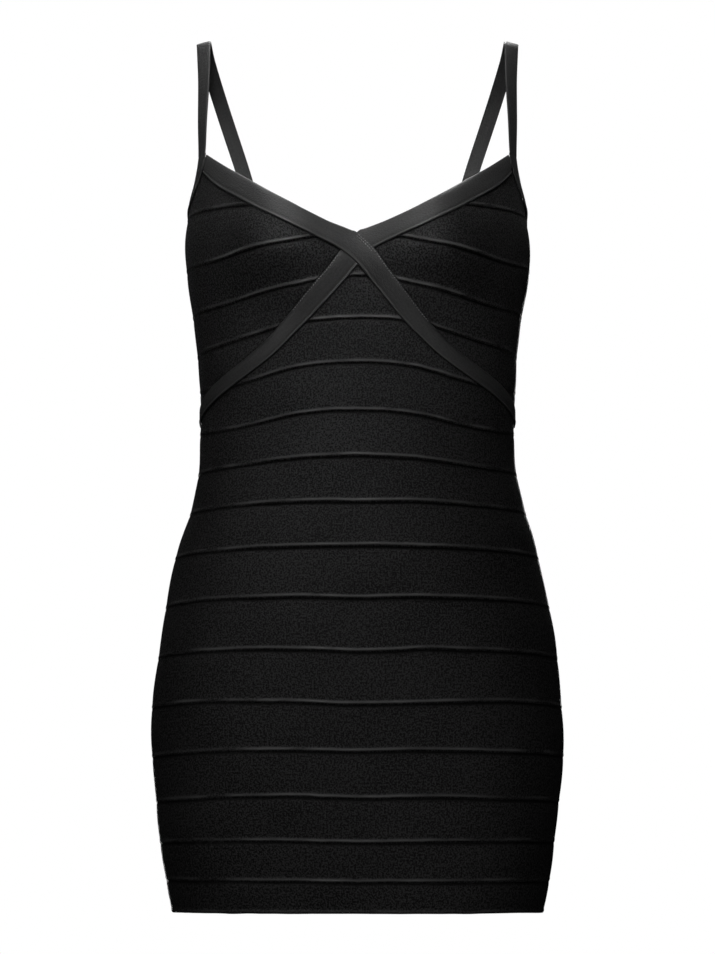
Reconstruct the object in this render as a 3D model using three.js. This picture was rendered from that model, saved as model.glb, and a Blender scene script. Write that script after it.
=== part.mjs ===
// A strappy bandage dress, filled out as it is worn, in millimetres.
// +Z is up, the front faces -Y and the wearer's left is at +X. Z is 0 where the straps lie on the shoulders.
// Angles are in degrees round the body: 0 at centre front, 90 at the left side seam, 180 at centre back.
import * as THREE from "three";

// Cloth
const KNIT_WALL = 1.6; // thickness of a knitted strip
const SEAM_GAP = 0.3; // between two pieces that are sewn together
const WELT_HEIGHT = 0.9; // how far a strip's rolled lower edge stands proud
const WELT_WIDTH = 4.5;
const WELT_CREST = 0.45; // where its highest line lies, as a share of its width
const LEAST_STRIP = 2.6; // a strip that tapers out ends at this height
const EDGE_INSET = 2.2; // strips end this far below the edge that a band covers

// Bands sewn on top of the strips
const BAND_WALL = 1;
const BAND_FLOOR = WELT_HEIGHT + SEAM_GAP + 0.1; // a band's inner face lies this far out from the strips
const STRAP_WIDTH = 13.2;
const CROSSING = { angle: 0, height: -221, flat: 19, reach: 36 }; // where one neck band lies over the other
const CROSSING_LIFT = BAND_WALL + SEAM_GAP;

// How finely the pieces are divided
const BUST_STEP = 6; // degrees between columns of a strip over the bust
const BODY_STEP = 6.4;
const BUST_STRIPS = 6; // strips down to this one have extra rows, which follow the cups
const BUST_ROWS = 3;
const BAND_PIECES = 4; // parts between two rows of an edge table
const STRAP_PIECES = 4; // parts between two points of a strap's table

// The general figure that the dress is cut for: half its width between the side seams, and its depth from
// there to the front and to the back.
const SECTION_POWER = 2.25; // 2 would make an ellipse
const BODY_SECTIONS = [
  { height: -762, halfWidth: 153.5, frontDepth: 96, backDepth: 101 }, // hem
  { height: -719, halfWidth: 162.2, frontDepth: 99, backDepth: 107 },
  { height: -669, halfWidth: 168.8, frontDepth: 102, backDepth: 115 },
  { height: -615, halfWidth: 173.1, frontDepth: 104, backDepth: 121 }, // hips
  { height: -560, halfWidth: 169.8, frontDepth: 104, backDepth: 120 },
  { height: -509, halfWidth: 162.8, frontDepth: 102, backDepth: 112 },
  { height: -458, halfWidth: 152.4, frontDepth: 97, backDepth: 99 },
  { height: -423, halfWidth: 142.2, frontDepth: 91, backDepth: 88 },
  { height: -388, halfWidth: 135.9, frontDepth: 86, backDepth: 81 },
  { height: -362, halfWidth: 135.2, frontDepth: 84, backDepth: 78 }, // waist
  { height: -342, halfWidth: 134.4, frontDepth: 85, backDepth: 78.5 },
  { height: -327, halfWidth: 135.6, frontDepth: 86, backDepth: 79 },
  { height: -291, halfWidth: 138.2, frontDepth: 90, backDepth: 83 },
  { height: -252, halfWidth: 143.5, frontDepth: 95, backDepth: 89 },
  { height: -220, halfWidth: 148.7, frontDepth: 98, backDepth: 94 }, // bust
  { height: -192, halfWidth: 150.2, frontDepth: 98, backDepth: 97 },
  { height: -165, halfWidth: 147.4, frontDepth: 95, backDepth: 97 },
  { height: -140, halfWidth: 143.3, frontDepth: 89, backDepth: 94 },
  { height: -100, halfWidth: 141.4, frontDepth: 78, backDepth: 85 },
];
// Each cup is a soft swelling of the front. Its spread is measured round the body, up and down.
const CUP = { angle: 33, height: -212, fullness: 26, radius: 118, across: 46, above: 62, below: 40 };

// The seam under each strip, from the top: its height at centre front, at 30, 60 and 90 degrees, and at
// centre back.
const SEAMS = [
  { strip: 1, front: -183, quarter: -183, flank: -173.8, side: -167.8, back: -168 },
  { strip: 2, front: -203, quarter: -217.5, flank: -220.8, side: -214, back: -213 },
  { strip: 3, front: -240.4, quarter: -249.5, flank: -257.3, side: -256, back: -254 },
  { strip: 4, front: -275.3, quarter: -278.5, flank: -289, side: -291, back: -290 },
  { strip: 5, front: -311.3, quarter: -314.5, flank: -325, side: -321, back: -322 },
  { strip: 6, front: -351, quarter: -353.5, flank: -362, side: -358, back: -358 },
  { strip: 7, front: -389.5, quarter: -390.8, flank: -395.3, side: -394, back: -393 },
  { strip: 8, front: -428.3, quarter: -428.2, flank: -429.2, side: -428, back: -428 },
  { strip: 9, front: -465.7, quarter: -465.8, flank: -466, side: -466.5, back: -466 },
  { strip: 10, front: -508.9, quarter: -507.6, flank: -507.4, side: -508, back: -508 },
  { strip: 11, front: -552.1, quarter: -549.6, flank: -549.5, side: -551, back: -551 },
  { strip: 12, front: -594, quarter: -592.4, flank: -591, side: -592.5, back: -593 },
  { strip: 13, front: -631.6, quarter: -630.3, flank: -631, side: -633, back: -633 },
  { strip: 14, front: -668.5, quarter: -667, flank: -668.5, side: -670, back: -670 },
  { strip: 15, front: -702.9, quarter: -702, flank: -702, side: -703, back: -703 },
  { strip: 16, front: -734, quarter: -733.4, flank: -733.6, side: -734, back: -734 },
  { strip: 17, front: -758.8, quarter: -759.2, flank: -760.2, side: -762, back: -762 }, // hem
];

// The top edge, on the wearer's left, with the width of its band. A row's lean turns that width away from
// straight down: towards the back if it is positive, and towards centre front if it is negative.
const NECKLINE = [
  { angle: 0.6, height: -205.1, lean: 40, width: 20 }, // point of the V
  { angle: 2.8, height: -203.7, lean: 37, width: 19.2 },
  { angle: 5.6, height: -202.1, lean: 33, width: 18.2 },
  { angle: 13.1, height: -197.1, lean: 25, width: 17 },
  { angle: 20.9, height: -189.8, lean: 26, width: 16.8 },
  { angle: 28, height: -180.9, lean: 31, width: 17 },
  { angle: 43.2, height: -160.4, lean: 34, width: 17 },
  { angle: 58.8, height: -140, lean: 26, width: 17 },
  { angle: 72.9, height: -118.8, lean: 0, width: 17 }, // beside the strap
];
const ARMHOLE = [
  { angle: 78.4, height: -118, lean: -90, width: 13.2 }, // outer edge of the strap
  { angle: 79.2, height: -130, lean: -82, width: 13 },
  { angle: 81.6, height: -141, lean: -62, width: 12.5 },
  { angle: 85.6, height: -149.5, lean: -32, width: 12 },
  { angle: 89.9, height: -156, lean: 0, width: 12 }, // side seam
];
const BACK_NECK = [
  { angle: 90.1, height: -156.2, lean: 0, width: 12 },
  { angle: 97, height: -163, lean: 0, width: 12 },
  { angle: 106, height: -168, lean: 0, width: 12 },
  { angle: 118, height: -170, lean: 0, width: 12 },
  { angle: 140, height: -170, lean: 0, width: 12 },
  { angle: 160, height: -170, lean: 0, width: 12 },
  { angle: 180, height: -170, lean: 0, width: 12 },
];
// Past the V each neck band runs on below the other cup, to the far side seam. This is its upper edge.
const UNDERBUST = [
  { angle: 3.4, height: -212.4, lean: -45, width: 19.5 },
  { angle: 8, height: -222.6, lean: -48, width: 18.6 },
  { angle: 15, height: -239.4, lean: -50, width: 16.8 },
  { angle: 26, height: -260.4, lean: -48, width: 15.3 },
  { angle: 35, height: -276.6, lean: -44, width: 13.8 },
  { angle: 46, height: -295.2, lean: -40, width: 13.2 },
  { angle: 58, height: -310.8, lean: -34, width: 12.8 },
  { angle: 71, height: -324.5, lean: -27, width: 12.8 },
  { angle: 82, height: -334, lean: -14, width: 12.8 },
  { angle: 89.9, height: -339, lean: 0, width: 12.8 }, // side seam
];
// How much lower the band that passes over the other lies than its mirror image, from its strap to the left
// side seam: [angle, drop].
const OVER_DROPS = [
  [-90, 0], [-28, 0], [-20.9, 0.5], [-13.1, 1.4], [-5.6, 1.8], [-0.6, 1.7], // right of the V
  [8, -1.2], [15, 0], [26, 2.2], [35, 2.6], [46, 1.6], [58, 0.6], [71, 0], [90, 0],
];

// The left strap from its end inside the back to the armhole, with the way that its outer face looks.
const STRAP_END = { angle: 139, heights: [-187, -172] }; // lies against the inside of the back
const STRAP = [
  { x: 94, y: 79, z: -132, faceX: 0.26, faceY: 0.94, faceZ: 0.12 },
  { x: 108, y: 70.5, z: -90, faceX: 0.16, faceY: 0.95, faceZ: 0.22 },
  { x: 124.3, y: 50, z: -43, faceX: 0.16, faceY: 0.8, faceZ: 0.56 },
  { x: 134.4, y: 24, z: -13, faceX: 0.24, faceY: 0.5, faceZ: 0.82 },
  { x: 137, y: 5, z: -2.2, faceX: 0.2, faceY: 0, faceZ: 0.98 }, // on the shoulder
  { x: 136.2, y: -12, z: -11, faceX: 0.36, faceY: -0.6, faceZ: 0.7 },
  { x: 134.7, y: -25, z: -46, faceX: 0.6, faceY: -0.78, faceZ: 0.18 },
  { x: 134.8, y: -33.5, z: -86, faceX: 0.76, faceY: -0.64, faceZ: 0.08 },
];

const KNIT = new THREE.MeshStandardMaterial({ color: 0x17171a, roughness: 0.85, metalness: 0 });
const BAND = new THREE.MeshStandardMaterial({ color: 0x2b2b2e, roughness: 0.6, metalness: 0 });

const radians = THREE.MathUtils.degToRad;
const degrees = THREE.MathUtils.radToDeg;

// The value at t of a smooth curve through the knots, which are [place, value] in rising order of place.
function through(knots, t) {
  const last = knots.length - 1;
  const found = knots.findIndex(([place]) => place > t);
  const i = THREE.MathUtils.clamp(found < 0 ? last - 1 : found - 1, 0, last - 1);
  const slope = (k) => {
    const [before, after] = [knots[Math.max(k - 1, 0)], knots[Math.min(k + 1, last)]];
    return (after[1] - before[1]) / (after[0] - before[0]);
  };
  const [from, to] = [knots[i], knots[i + 1]];
  const span = to[0] - from[0];
  const s = (t - from[0]) / span;
  const rise = slope(i) * span * s * (1 - s) ** 2 - slope(i + 1) * span * s * s * (1 - s);
  return from[1] + (to[1] - from[1]) * s * s * (3 - 2 * s) + rise;
}

const SIZE_KNOTS = ["halfWidth", "frontDepth", "backDepth"].map((size) =>
  BODY_SECTIONS.map((section) => [section.height, section[size]]),
);

// The distance from the body's axis to the outside of the cloth.
function radius(angle, height) {
  const [halfWidth, frontDepth, backDepth] = SIZE_KNOTS.map((knots) => through(knots, height));
  const forward = Math.cos(radians(angle));
  const sideways = Math.sin(radians(angle));
  const depth = forward > 0 ? frontDepth : backDepth;
  const share = (part, whole) => Math.abs(part / whole) ** SECTION_POWER;
  const round = (share(forward, depth) + share(sideways, halfWidth)) ** (-1 / SECTION_POWER);
  const rise = height - CUP.height;
  const up = (rise / (rise > 0 ? CUP.above : CUP.below)) ** 2;
  const cup = (centre) => {
    const along = (radians(angle - centre) * CUP.radius) / CUP.across;
    return CUP.fullness * Math.exp(-(along ** 2) - up);
  };
  return round + cup(CUP.angle) + cup(-CUP.angle);
}

function onBody(angle, height) {
  const r = radius(angle, height);
  return new THREE.Vector3(r * Math.sin(radians(angle)), -r * Math.cos(radians(angle)), height);
}

function outwards(angle, height) {
  const [turn, rise] = [0.5, 1];
  const round = onBody(angle + turn, height).sub(onBody(angle - turn, height));
  const upward = onBody(angle, height + rise).sub(onBody(angle, height - rise));
  return round.cross(upward).normalize();
}

// A point of the cloth, moved out from its outer face.
const cloth = (angle, height, out) => onBody(angle, height).addScaledVector(outwards(angle, height), out);

const angleOf = (point) => degrees(Math.atan2(point.x, -point.y));

// An angle folded onto the wearer's left half, from 0 at centre front to 180 at centre back.
const folded = (angle) => (Math.abs(angle) > 180 ? 360 - Math.abs(angle) : Math.abs(angle));

// A closed wall through loops of points. The profile is one loop laid flat, counter-clockwise, which shapes
// the two end faces.
function wall(name, profile, loops, material) {
  const size = profile.length;
  const ends = THREE.ShapeUtils.triangulateShape(profile, []);
  const index = [];
  for (let i = 0; i + 1 < loops.length; i++)
    for (let k = 0; k < size; k++) {
      const [a, b] = [i * size + k, i * size + ((k + 1) % size)];
      index.push(a, b, b + size, a, b + size, a + size);
    }
  const far = (loops.length - 1) * size;
  for (const [a, b, c] of ends) {
    index.push(c, b, a);
    index.push(far + a, far + b, far + c);
  }
  const geometry = new THREE.BufferGeometry();
  const places = loops.flat().flatMap((point) => point.toArray());
  geometry.setAttribute("position", new THREE.Float32BufferAttribute(places, 3));
  geometry.setIndex(index);
  geometry.computeVertexNormals();
  const mesh = new THREE.Mesh(geometry, material);
  mesh.name = name;
  return mesh;
}

// Strips

function seamHeight(seam, angle) {
  const { front, quarter, flank, side, back } = seam;
  const half = [[0, front], [30, quarter], [60, flank], [90, side], [180, back]];
  return through([[-30, quarter], ...half, [270, side]], folded(angle));
}

const TOP_EDGE = [{ angle: 0, height: NECKLINE[0].height }, ...NECKLINE, ...ARMHOLE, ...BACK_NECK];

// The height where the strips end at the neckline, armholes and back.
function topEdge(angle) {
  const turn = folded(angle);
  const after = Math.max(1, TOP_EDGE.findIndex((row) => row.angle >= turn));
  const [from, to] = [TOP_EDGE[after - 1], TOP_EDGE[after]];
  return THREE.MathUtils.mapLinear(turn, from.angle, to.angle, from.height, to.height) - EDGE_INSET;
}

// A strip's section. The share says how far down a point is: 0 at the top, 1 where the welt starts and 2 at
// the foot.
function stripProfile(rows) {
  const shares = Array.from({ length: rows + 1 }, (_, i) => i / rows);
  const outer = shares.map((share) => ({ share, out: 0 }));
  const welt = [{ share: 2 - WELT_CREST, out: WELT_HEIGHT }, { share: 2, out: WELT_HEIGHT / 3 }];
  const inner = [2, ...shares.slice(0, -1).reverse()].map((share) => ({ share, out: -KNIT_WALL }));
  return [...outer, ...welt, ...inner];
}

function strip(name, number, rows, angles) {
  const above = SEAMS[number - 2];
  const below = SEAMS[number - 1];
  const reachesTop = (angle) => !above || (number === 2 && folded(angle) > 90);
  const upper = (angle) =>
    reachesTop(angle) ? topEdge(angle) : Math.min(seamHeight(above, angle) - SEAM_GAP / 2, topEdge(angle));
  const lower = (angle) => seamHeight(below, angle) + (number < SEAMS.length ? SEAM_GAP / 2 : 0);
  const profile = stripProfile(rows);
  const loops = angles
    .filter((angle) => upper(angle) - lower(angle) > LEAST_STRIP)
    .map((angle) => {
      const [top, foot] = [upper(angle), lower(angle)];
      const welt = Math.min(WELT_WIDTH, (top - foot) / 2);
      return profile.map(({ share, out }) => {
        const height = share > 1 ? foot + welt * (2 - share) : top - (top - foot - welt) * share;
        return cloth(angle, height, out);
      });
    });
  const tall = SEAMS[1].side - SEAMS[2].side;
  const drop = (share) => tall * Math.min(share, 1) + WELT_WIDTH * Math.max(share - 1, 0);
  const flat = profile.map(({ share, out }) => new THREE.Vector2(-out, -drop(share)));
  return wall(name, flat, loops, KNIT);
}

// The angles of a strip's columns, with those where the top edge bends if it reaches that edge.
function columns(from, to, step, bends) {
  const count = Math.round((to - from) / step);
  const even = Array.from({ length: count + 1 }, (_, i) => from + ((to - from) * i) / count);
  const between = (angle) => angle > from + 1 && angle < to - 1;
  const turns = TOP_EDGE.flatMap(({ angle }) => [angle, -angle, 360 - angle]);
  const extra = bends ? turns.filter(between) : [];
  const near = (angle) => extra.some((bend) => Math.abs(bend - angle) < step / 3);
  const kept = even.filter((angle, i) => i === 0 || i === count || !near(angle));
  return [...new Set([...kept, ...extra])].sort((a, b) => a - b);
}

const SEAM_TURN = 0.065; // degrees from the middle of a side seam to the strips
const RIGHT_SEAM = -90 + SEAM_TURN;
const LEFT_SEAM = 90 - SEAM_TURN;
const twoDigits = (number) => String(number).padStart(2, "0");

function frontStrips() {
  return SEAMS.flatMap(({ strip: number }) => {
    const overBust = number <= BUST_STRIPS;
    const [step, rows] = overBust ? [BUST_STEP, BUST_ROWS] : [BODY_STEP, 1];
    const bends = number <= 3;
    const name = `front_strip_${twoDigits(number)}`;
    if (number > 2) return [strip(name, number, rows, columns(RIGHT_SEAM, LEFT_SEAM, step, bends))];
    return [
      strip(`${name}_left`, number, rows, columns(0, LEFT_SEAM, step, bends)),
      strip(`${name}_right`, number, rows, columns(RIGHT_SEAM, 0, step, bends)),
    ];
  });
}

function backStrips() {
  return SEAMS.slice(1).map(({ strip: number }) => {
    const [step, rows] = number === 2 ? [BUST_STEP, BUST_ROWS] : [BODY_STEP, 1];
    const angles = columns(180 - LEFT_SEAM, 180 - RIGHT_SEAM, step, number === 2);
    return strip(`back_strip_${twoDigits(number)}`, number, rows, angles);
  });
}

// Bands

// A band's section is flat, with a middle line that bends over the body.
const BAND_SHARES = [0, 0.5, 1];
const BAND_PROFILE = [
  ...BAND_SHARES.map((share) => ({ share, out: BAND_WALL })),
  ...BAND_SHARES.toReversed().map((share) => ({ share, out: 0 })),
];
const BAND_OUTLINE = BAND_PROFILE.map(({ share, out }) => new THREE.Vector2(-out, -share * STRAP_WIDTH));

// The rows of an edge table, with evenly spaced rows put between them.
function divided(rows) {
  const names = Object.keys(rows[0]);
  const knots = names.map((name) => rows.map((row, i) => [i, row[name]]));
  return Array.from({ length: (rows.length - 1) * BAND_PIECES + 1 }, (_, i) =>
    Object.fromEntries(names.map((name, k) => [name, through(knots[k], i / BAND_PIECES)])),
  );
}

// The far edge of a band whose near edge is at this row, found along the body.
function acrossBand({ angle, height, lean }, distance) {
  const turned = radians(lean);
  const start = onBody(angle, height);
  const side = new THREE.Vector3(0, 0, 1).cross(outwards(angle, height)).normalize();
  const point = start.addScaledVector(side, distance * Math.sin(turned));
  return { angle: angleOf(point), height: height - distance * Math.cos(turned) };
}

function bandLoop(row, lift = () => 0) {
  return BAND_PROFILE.map(({ share, out }) => {
    const at = acrossBand(row, share * row.width);
    return cloth(at.angle, at.height, BAND_FLOOR + out + lift(at));
  });
}

// How far a band that passes over the other is lifted at a point of the body.
function crossingLift({ angle, height }) {
  const away = onBody(angle, height).distanceTo(onBody(CROSSING.angle, CROSSING.height));
  return CROSSING_LIFT * (1 - THREE.MathUtils.smoothstep(away, CROSSING.flat, CROSSING.reach));
}

const mirrored = (row) => ({ ...row, angle: -row.angle, lean: -row.lean });

// From the wearer's right strap through the V to the left side seam.
const CROSS_PATH = divided([...NECKLINE.toReversed().map(mirrored), ...UNDERBUST]);

function crossBandOver() {
  const lowered = (row) => ({ ...row, height: row.height - through(OVER_DROPS, row.angle) });
  const loops = CROSS_PATH.map((row) => bandLoop(lowered(row), crossingLift));
  return wall("cross_band_over", BAND_OUTLINE, loops, BAND);
}

function crossBandUnder() {
  const loops = CROSS_PATH.map((row) => bandLoop(mirrored(row))).toReversed();
  return wall("cross_band_under", BAND_OUTLINE, loops, BAND);
}

function backBinding() {
  const left = divided(BACK_NECK);
  const right = left.slice(0, -1).toReversed().map((row) => ({ ...row, angle: 360 - row.angle }));
  const loops = [...left, ...right].map((row) => bandLoop(row));
  return wall("back_binding", BAND_OUTLINE, loops, BAND);
}

// One strip of band makes the strap and goes on round the armhole to the side seam.
function strap(name, side) {
  const onCloth = (angle, height, out) => ({ at: cloth(angle, height, out), face: outwards(angle, height) });
  const inside = -(KNIT_WALL + BAND_WALL / 2 + 3 * SEAM_GAP);
  const fastened = STRAP_END.heights.map((height) => onCloth(STRAP_END.angle, height, inside));
  const free = STRAP.map(({ x, y, z, faceX, faceY, faceZ }) => ({
    at: new THREE.Vector3(x, y, z),
    face: new THREE.Vector3(faceX, faceY, faceZ),
  }));
  const joined = ARMHOLE.slice(0, 2).map((row) => {
    const middle = acrossBand(row, STRAP_WIDTH / 2);
    return onCloth(middle.angle, middle.height, BAND_FLOOR + BAND_WALL / 2);
  });
  const knots = [...fastened, ...free, ...joined];
  const part = (of, axis, t) => through(knots.map((knot, i) => [i, knot[of][axis]]), t);
  const vector = (of, t) => new THREE.Vector3(part(of, "x", t), part(of, "y", t), part(of, "z", t));
  const count = (knots.length - 2) * STRAP_PIECES;
  const loops = Array.from({ length: count }, (_, i) => {
    const t = i / STRAP_PIECES;
    const along = vector("at", t + 0.01).sub(vector("at", t - 0.01)).normalize();
    const across = vector("face", t).cross(along).normalize();
    const face = along.clone().cross(across);
    return BAND_PROFILE.map(({ share, out }) => {
      const edge = vector("at", t).addScaledVector(across, (0.5 - share) * STRAP_WIDTH);
      return edge.addScaledVector(face, out - BAND_WALL / 2);
    });
  });
  const armhole = divided(ARMHOLE).map((row) => bandLoop(row));
  const leftLoops = [...loops, ...armhole];
  if (side > 0) return wall(name, BAND_OUTLINE, leftLoops, BAND);
  const flipped = leftLoops.map((loop) => loop.map(({ x, y, z }) => new THREE.Vector3(-x, y, z)));
  return wall(name, BAND_OUTLINE, flipped.toReversed(), BAND);
}

const dress = new THREE.Group();
dress.name = "bandage_dress";
dress.add(
  ...frontStrips(),
  ...backStrips(),
  crossBandOver(),
  crossBandUnder(),
  backBinding(),
  strap("strap_left", 1),
  strap("strap_right", -1),
);

export default dress;
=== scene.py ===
# A strappy bandage dress in black knit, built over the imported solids. Sizes are in metres.
# +Z is up, the front faces -Y and the wearer's left is at +X. Z is 0 where the straps lie on the shoulders.
# Angles are in degrees round the body: 0 at centre front, 90 at the left side seam, 180 at centre back.
import math

import bpy
import numpy as np
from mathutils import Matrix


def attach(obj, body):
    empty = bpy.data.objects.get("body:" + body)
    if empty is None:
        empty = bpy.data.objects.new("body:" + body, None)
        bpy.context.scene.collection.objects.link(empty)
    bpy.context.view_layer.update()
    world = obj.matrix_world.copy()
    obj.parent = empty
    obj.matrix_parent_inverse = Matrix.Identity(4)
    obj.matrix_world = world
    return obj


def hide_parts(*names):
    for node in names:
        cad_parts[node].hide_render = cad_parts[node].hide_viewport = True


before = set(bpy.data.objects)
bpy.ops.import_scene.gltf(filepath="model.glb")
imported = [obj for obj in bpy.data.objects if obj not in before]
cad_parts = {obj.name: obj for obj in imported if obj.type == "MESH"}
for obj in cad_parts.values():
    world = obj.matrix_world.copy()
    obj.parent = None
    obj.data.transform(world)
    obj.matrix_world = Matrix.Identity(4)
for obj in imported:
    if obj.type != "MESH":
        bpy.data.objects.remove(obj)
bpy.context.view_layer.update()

MM = 0.001

# The figure that fills the dress: height, half its width, and its depth to the front and to the back
SECTION_POWER = 2.25  # 2 would make its sections ellipses
BODY_SECTIONS = np.array([
    (-762, 153.5, 96, 101),  # hem
    (-719, 162.2, 99, 107),
    (-669, 168.8, 102, 115),
    (-615, 173.1, 104, 121),  # hips
    (-560, 169.8, 104, 120),
    (-509, 162.8, 102, 112),
    (-458, 152.4, 97, 99),
    (-423, 142.2, 91, 88),
    (-388, 135.9, 86, 81),
    (-362, 135.2, 84, 78),  # waist
    (-342, 134.4, 85, 78.5),
    (-327, 135.6, 86, 79),
    (-291, 138.2, 90, 83),
    (-252, 143.5, 95, 89),
    (-220, 148.7, 98, 94),  # bust
    (-192, 150.2, 98, 97),
    (-165, 147.4, 95, 97),
    (-140, 143.3, 89, 94),
    (-100, 141.4, 78, 85),
]) * MM
CUP_ANGLE = 33
CUP_HEIGHT = -212 * MM
CUP_FULLNESS = 26 * MM
CUP_RADIUS = 118 * MM  # from the body's axis
CUP_ACROSS = 46 * MM  # how soon the fullness fades sideways, upwards and downwards
CUP_ABOVE = 62 * MM
CUP_BELOW = 40 * MM

# The seam under each strip: its height at centre front, at 30, 60 and 90 degrees, and at centre back
SEAMS = np.array([
    (-183, -183, -173.8, -167.8, -168),
    (-203, -217.5, -220.8, -214, -213),
    (-240.4, -249.5, -257.3, -256, -254),
    (-275.3, -278.5, -289, -291, -290),
    (-311.3, -314.5, -325, -321, -322),
    (-351, -353.5, -362, -358, -358),
    (-389.5, -390.8, -395.3, -394, -393),
    (-428.3, -428.2, -429.2, -428, -428),
    (-465.7, -465.8, -466, -466.5, -466),
    (-508.9, -507.6, -507.4, -508, -508),
    (-552.1, -549.6, -549.5, -551, -551),
    (-594, -592.4, -591, -592.5, -593),
    (-631.6, -630.3, -631, -633, -633),
    (-668.5, -667, -668.5, -670, -670),
    (-702.9, -702, -702, -703, -703),
    (-734, -733.4, -733.6, -734, -734),
    (-759.8, -759.7, -760, -761.2, -762),  # hem
]) * MM
LAST_STRIP = len(SEAMS)
SEAM_DROP = 1.8 * MM  # the seams lie this much lower than the solids' edges

# The top edge and the bands along it: angle, height, lean of the band's width, and width in millimetres.
# A positive lean turns the width from straight down towards the back, on the wearer's left.
NECKLINE = [
    (0.6, -205.1, 40, 20),  # point of the V
    (2.8, -203.7, 37, 19.2),
    (5.6, -202.1, 33, 18.2),
    (13.1, -197.1, 25, 17),
    (20.9, -189.8, 26, 16.8),
    (28, -180.9, 31, 17),
    (43.2, -160.4, 34, 17),
    (58.8, -140, 26, 17),
    (72.9, -118.8, 0, 17),  # beside the strap
]
ARMHOLE = [
    (78.4, -118, -90, 13.2),  # outer edge of the strap
    (79.2, -130, -82, 13),
    (81.6, -141, -62, 12.5),
    (85.6, -149.5, -32, 12),
    (90.05, -156, 0, 12),  # side seam
]
BACK_NECK = [
    (89.95, -156.2, 0, 12),
    (97, -163, 0, 12),
    (106, -168, 0, 12),
    (118, -170, 0, 12),
    (140, -170, 0, 12),
    (160, -170, 0, 12),
    (180, -170, 0, 12),
]
UNDERBUST = [
    (3.4, -212.4, -45, 19.5),
    (8, -222.6, -48, 18.6),
    (15, -239.4, -50, 16.8),
    (26, -260.4, -48, 15.3),
    (35, -276.6, -44, 13.8),
    (46, -295.2, -40, 13.2),
    (58, -310.8, -34, 12.8),
    (71, -324.5, -27, 12.8),
    (82, -334, -14, 12.8),
    (89.9, -339, 0, 12.8),  # side seam
]
# Angles along the band that passes over the other, and how much lower it lies there than its mirror image
OVER_DROP_ANGLES = (-90, -28, -20.9, -13.1, -5.6, -0.6, 8, 15, 26, 35, 46, 58, 71, 90)
OVER_DROPS = (0, -0.3, 0, 0.8, 1.3, 1.5, -1.2, 0, 2.2, 2.6, 1.6, 0.6, 0, 0)
CROSSING_HEIGHT = -221 * MM
CROSSING_LIFT = 1.3 * MM  # as far as the first distance from the crossing, and 0 from the second
CROSSING_FLAT = 19 * MM
CROSSING_REACH = 36 * MM

# The left strap from inside the back to the armhole: place in millimetres, and the way its outer face looks
STRAP_WIDTH = 13.2 * MM
STRAP_END_ANGLE = 139
STRAP_END_HEIGHTS = (-187 * MM, -172 * MM)
STRAP = [
    (94, 79, -132, 0.26, 0.94, 0.12),
    (108, 70.5, -90, 0.16, 0.95, 0.22),
    (124.3, 50, -43, 0.16, 0.8, 0.56),
    (134.4, 24, -13, 0.24, 0.5, 0.82),
    (137, 5, -2.2, 0.2, 0, 0.98),  # on the shoulder
    (136.2, -12, -11, 0.36, -0.6, 0.7),
    (134.7, -25, -46, 0.6, -0.78, 0.18),
    (134.8, -33.5, -86, 0.76, -0.64, 0.08),
]

# The knit and its seams
KNIT_WALL = 1.1 * MM
EDGE_INSET = 2.2 * MM  # strips end this far below the edge that a band covers
LEAST_STRIP = 2.6 * MM  # a strip ends where it would be lower than this
TUCK = 2.2 * MM  # how far a strip goes up behind the welt above it
TUCK_DEPTH = 1.1 * MM
TUCK_RISE = 3.4 * MM
TUCK_AT_SIDES = 0.2  # share of the tuck that is left where the cloth is stretched round the sides
WELT_CREST = 1.2 * MM
WELT_CREST_AT = 1.7 * MM  # above the strip's foot
WELT_WIDTH = 4.2 * MM
WELT_FOOT = 0.35 * MM
WELT_AT_SIDES = 0.25  # shares of the crest that are left round the sides and at the hem
WELT_AT_HEM = 0.45
SIDES = (0.6, 0.97)  # sines of the angles between which the front turns into the sides
BULGE = 0.45 * MM  # how far the middle of a strip's height stands out between its seams
PUCKER_ABOVE = 6 * MM  # how soon puckers fade above a seam and below it
PUCKER_BELOW = 7 * MM
FOOT_THINNING = 0.65 * MM  # how much thinner the wall is behind a welt
FOOT_THINNED = (2.5 * MM, 7 * MM)
SIDE_ROLL = 0.6 * MM  # how deep a strip's end turns in at the side seam
SIDE_ROLL_WIDTH = 2.4 * MM
SIDE_OVERLAP = 0.12 * MM  # how far a strip's ends reach past the side seam
FLARE = 0.7 * MM  # how far a strip's top edge is lifted to the band that covers it
FLARE_WIDTH = 5 * MM

# The bands and straps
BAND_MIDDLE = 1.8 * MM  # height of a band's middle layer over the strips
BAND_WALL = 1.15 * MM
BAND_DROP = 0.95 * MM  # how far a band's upper edge bends down to the strips
BAND_LOWER_DROP = 0.4 * MM
BAND_BEND = 3.5  # the higher, the nearer to the edge a band bends
BAND_BEAD = 0.6 * MM  # height of the rolled lip along a band's lower edge
BEAD_AT = 0.055  # shares of the band's width, from its lower edge
BEAD_WIDTH = 0.03
GROOVE_AT = 0.15
GROOVE_WIDTH = 0.035
GROOVE_DEPTH = 0.4  # share of the lip's height
BAND_SETTLE = 1 * MM  # how much lower a band lies at a side seam
BAND_SETTLED = (1 * MM, 16 * MM)
EDGE_ROUNDING = 3  # the higher, the squarer an edge
STRAP_WALL = 1.6 * MM
STRAP_INSIDE = 1.1 * MM  # gap between the back's cloth and the strap's end behind it
STRAP_TO_BAND = 1.2  # rows of the strap's table over which its wall thins to a band's
ARMHOLE_PRESSED = (0.2, 0.8)  # shares of the armhole between which its edges come down to the strips

COLUMN_STEP = 0.75  # degrees
BAND_PIECES = 26  # parts between two rows of a band's table
STRAP_PIECES = 18

SEED = 20


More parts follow.
